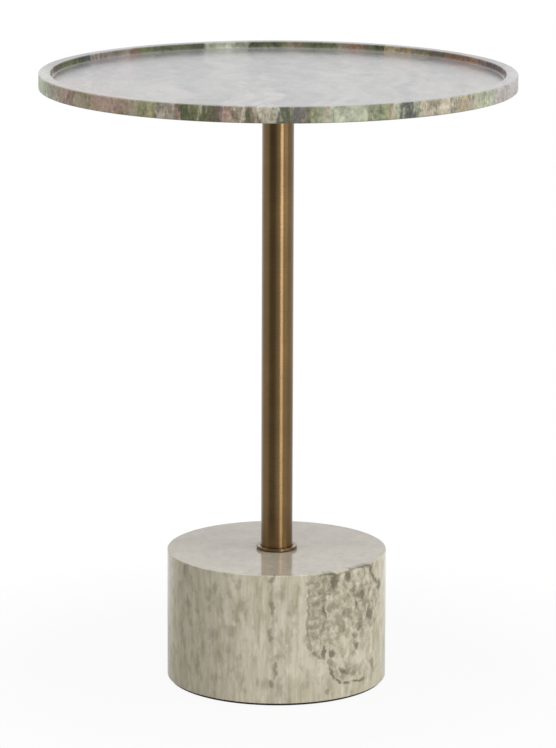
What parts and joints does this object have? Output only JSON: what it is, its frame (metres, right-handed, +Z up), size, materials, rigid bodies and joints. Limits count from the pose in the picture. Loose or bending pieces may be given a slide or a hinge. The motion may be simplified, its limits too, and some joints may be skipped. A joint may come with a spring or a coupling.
{
  "type": "wine table",
  "caption": "Small round side table: a stone tray with a raised rim on a slim brass-finished column, bolted to a heavy stone drum base, to stand a glass or bottle on.",
  "frame": {"origin": "centre of the underside of the felt pad, on the floor", "axes": "+Z up along the column's axis, through the middle of the tray; -Y is the side that the picture shows"},
  "size_m": [0.3999, 0.4, 0.523],
  "materials": {
    "tray_stone": "polished green and pink veined marble",
    "drum_stone": "polished beige vein-cut stone",
    "antique_brass": "brushed antique brass plating on steel",
    "zinc_steel": "zinc plated steel",
    "black_plate": "black powder coat",
    "black_rubber": "matte rubber",
    "nylon": "natural nylon",
    "fibre": "red vulcanised fibre",
    "epoxy": "set epoxy",
    "felt": "dark pressed felt"
  },
  "bodies": {
    "root": {"tray_top": "tray_stone", "epoxy_bed": "epoxy", "mounting_plate": "black_plate", "tray_stud": "zinc_steel", "top_washer": "nylon", "upper_end_plug": "zinc_steel", "column_tube": "antique_brass", "lower_end_plug": "zinc_steel", "foot_collar": "antique_brass", "collar_gasket": "black_rubber", "base_drum": "drum_stone", "fibre_washer": "fibre", "flat_washer": "zinc_steel", "spring_washer": "zinc_steel", "base_bolt": "zinc_steel", "base_pad": "felt"}
  },
  "joints": []
}
